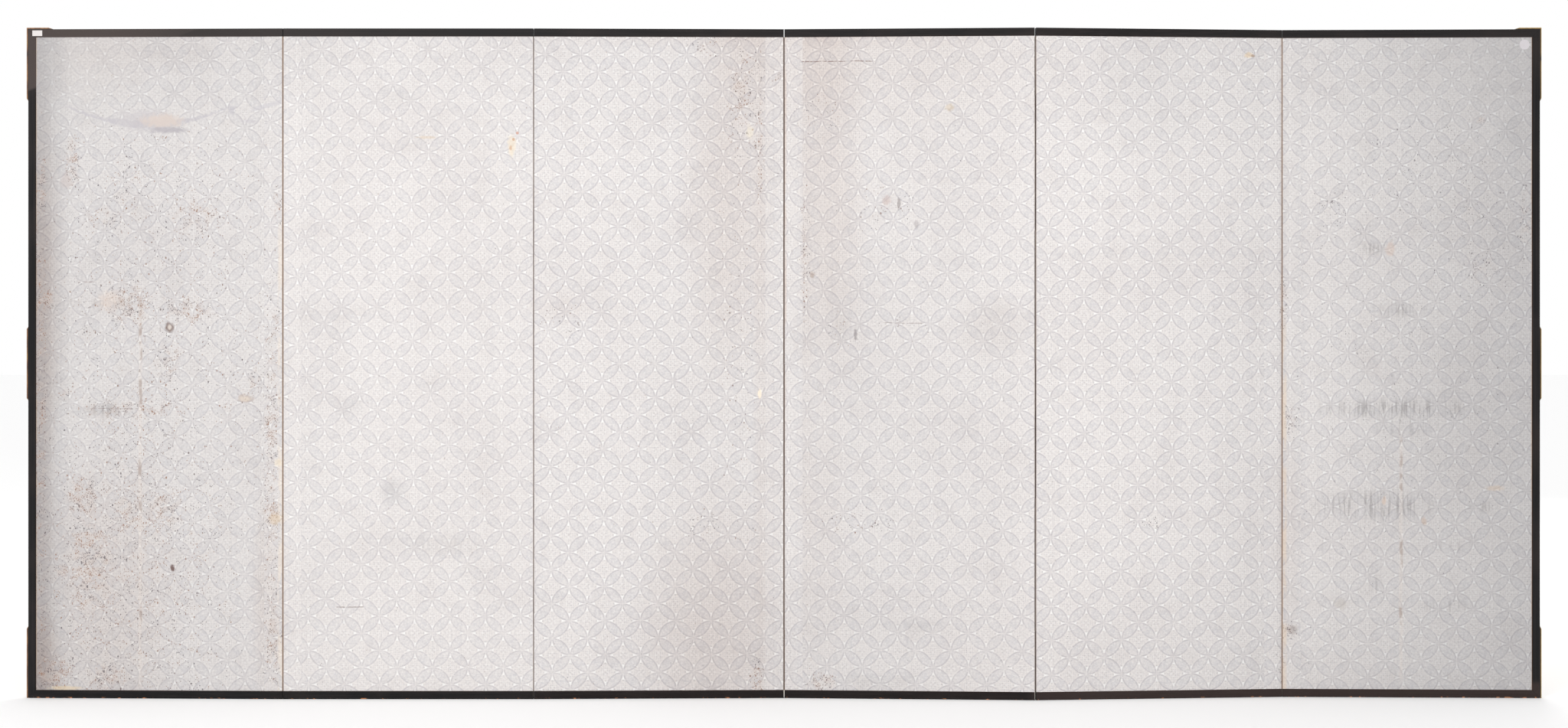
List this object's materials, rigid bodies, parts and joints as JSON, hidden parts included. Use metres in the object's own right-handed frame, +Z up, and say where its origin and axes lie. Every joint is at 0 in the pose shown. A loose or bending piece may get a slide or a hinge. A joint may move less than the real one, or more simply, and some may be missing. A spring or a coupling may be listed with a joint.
{
  "type": "folding screen",
  "caption": "Freestanding byobu folding screen: papered lattice panels with patterned back, lacquered frame, metal edge fittings and paper hinges that fold both ways.",
  "frame": {"origin": "on the floor, below the middle of the standing screen's bounding box", "axes": "+X along the screen, +Z up, -Y towards the side of the back paper, +Y towards the side of the gold sheets"},
  "size_m": [3.8064, 0.0686, 1.6848],
  "materials": {
    "core_wood": "raw cedar",
    "back_paper": "aged block-printed paper with linked circles",
    "gold_leaf": "aged gold leaf squares on paper",
    "brocade": "woven silk border",
    "black_lacquer": "worn black lacquer on wood",
    "fitting_metal": "aged copper and brass, dark in the hollows",
    "tack_metal": "aged brass",
    "hinge_paper": "brown, soiled hinge paper",
    "label_paper": "blank white label"
  },
  "bodies": {
    "panel_1": {"core_lattice_1": "core_wood", "back_paper_1": "back_paper", "front_sheet_1": "gold_leaf", "front_border_1": "brocade", "top_rail_1": "black_lacquer", "bottom_rail_1": "black_lacquer", "left_stile": "black_lacquer", "left_top_corner_fitting": "fitting_metal", "left_middle_fitting": "fitting_metal", "left_foot_corner_fitting": "fitting_metal", "left_tacks": "tack_metal", "square_label": "label_paper"},
    "panel_2": {"core_lattice_2": "core_wood", "back_paper_2": "back_paper", "front_sheet_2": "gold_leaf", "front_border_2": "brocade", "top_rail_2": "black_lacquer", "bottom_rail_2": "black_lacquer"},
    "panel_3": {"core_lattice_3": "core_wood", "back_paper_3": "back_paper", "front_sheet_3": "gold_leaf", "front_border_3": "brocade", "top_rail_3": "black_lacquer", "bottom_rail_3": "black_lacquer"},
    "panel_4": {"core_lattice_4": "core_wood", "back_paper_4": "back_paper", "front_sheet_4": "gold_leaf", "front_border_4": "brocade", "top_rail_4": "black_lacquer", "bottom_rail_4": "black_lacquer"},
    "panel_5": {"core_lattice_5": "core_wood", "back_paper_5": "back_paper", "front_sheet_5": "gold_leaf", "front_border_5": "brocade", "top_rail_5": "black_lacquer", "bottom_rail_5": "black_lacquer"},
    "panel_6": {"core_lattice_6": "core_wood", "back_paper_6": "back_paper", "front_sheet_6": "gold_leaf", "front_border_6": "brocade", "top_rail_6": "black_lacquer", "bottom_rail_6": "black_lacquer", "right_stile": "black_lacquer", "right_top_corner_fitting": "fitting_metal", "right_middle_fitting": "fitting_metal", "right_foot_corner_fitting": "fitting_metal", "right_tacks": "tack_metal", "round_label": "label_paper"},
    "link_1": {"link_strips_1": "hinge_paper"},
    "crossing_1": {"crossing_strips_1": "hinge_paper"},
    "link_2": {"link_strips_2": "hinge_paper"},
    "crossing_2": {"crossing_strips_2": "hinge_paper"},
    "link_3": {"link_strips_3": "hinge_paper"},
    "crossing_3": {"crossing_strips_3": "hinge_paper"},
    "link_4": {"link_strips_4": "hinge_paper"},
    "crossing_4": {"crossing_strips_4": "hinge_paper"},
    "link_5": {"link_strips_5": "hinge_paper"},
    "crossing_5": {"crossing_strips_5": "hinge_paper"}
  },
  "joints": [
    {"name": "hinge_1_back", "type": "hinge", "parent": "panel_2", "child": "link_1", "pos_m": [-1.25453, -0.01852, 0.84], "axis": [0, 0, -1], "range_deg": [-180, 0]},
    {"name": "hinge_1_front", "type": "hinge", "parent": "link_1", "child": "panel_1", "pos_m": [-1.25455, 0.00228, 0.84], "axis": [0, 0, -1], "range_deg": [-1.6, 178.4]},
    {"name": "crossing_1_turn", "type": "hinge", "parent": "panel_2", "child": "crossing_1", "pos_m": [-1.25455, 0.00228, 0.84], "axis": [0, 0, -1], "range_deg": [-1.6, 178.4]},
    {"name": "hinge_2_back", "type": "hinge", "parent": "panel_3", "child": "link_2", "pos_m": [-0.62682, -0.01807, 0.84], "axis": [0, 0, 1], "range_deg": [0, 180]},
    {"name": "hinge_2_front", "type": "hinge", "parent": "link_2", "child": "panel_2", "pos_m": [-0.62735, 0.00272, 0.84], "axis": [0, 0, 1], "range_deg": [-178.6, 1.4]},
    {"name": "crossing_2_turn", "type": "hinge", "parent": "panel_3", "child": "crossing_2", "pos_m": [-0.62735, 0.00272, 0.84], "axis": [0, 0, 1], "range_deg": [-178.6, 1.4]},
    {"name": "hinge_3_back", "type": "hinge", "parent": "panel_4", "child": "link_3", "pos_m": [0.00018, -0.00231, 0.84], "axis": [0, 0, -1], "range_deg": [-175.6, 4.4]},
    {"name": "hinge_3_front", "type": "hinge", "parent": "link_3", "child": "panel_3", "pos_m": [-0.00034, 0.01848, 0.84], "axis": [0, 0, -1], "range_deg": [0, 180]},
    {"name": "crossing_3_turn", "type": "hinge", "parent": "panel_3", "child": "crossing_3", "pos_m": [0.00018, -0.00231, 0.84], "axis": [0, 0, 1], "range_deg": [-175.6, 4.4]},
    {"name": "hinge_4_front", "type": "hinge", "parent": "panel_4", "child": "link_4", "pos_m": [0.62762, -0.01393, 0.84], "axis": [0, 0, -1], "range_deg": [-172.6, 7.4]},
    {"name": "hinge_4_back", "type": "hinge", "parent": "link_4", "child": "panel_5", "pos_m": [0.62923, -0.03467, 0.84], "axis": [0, 0, -1], "range_deg": [0, 180]},
    {"name": "crossing_4_turn", "type": "hinge", "parent": "panel_5", "child": "crossing_4", "pos_m": [0.62762, -0.01393, 0.84], "axis": [0, 0, -1], "range_deg": [-7.4, 172.6]},
    {"name": "hinge_5_front", "type": "hinge", "parent": "panel_5", "child": "link_5", "pos_m": [1.25293, 0.03463, 0.84], "axis": [0, 0, 1], "range_deg": [0, 180]},
    {"name": "hinge_5_back", "type": "hinge", "parent": "link_5", "child": "panel_6", "pos_m": [1.25455, 0.01389, 0.84], "axis": [0, 0, 1], "range_deg": [-174, 6]},
    {"name": "crossing_5_turn", "type": "hinge", "parent": "panel_5", "child": "crossing_5", "pos_m": [1.25455, 0.01389, 0.84], "axis": [0, 0, 1], "range_deg": [-174, 6]}
  ],
  "couplings": [
    {"joint": "crossing_1_turn", "follows": "hinge_1_front", "ratio": 1},
    {"joint": "crossing_2_turn", "follows": "hinge_2_front", "ratio": 1},
    {"joint": "crossing_3_turn", "follows": "hinge_3_back", "ratio": 1},
    {"joint": "crossing_4_turn", "follows": "hinge_4_front", "ratio": -1},
    {"joint": "crossing_5_turn", "follows": "hinge_5_back", "ratio": 1}
  ]
}
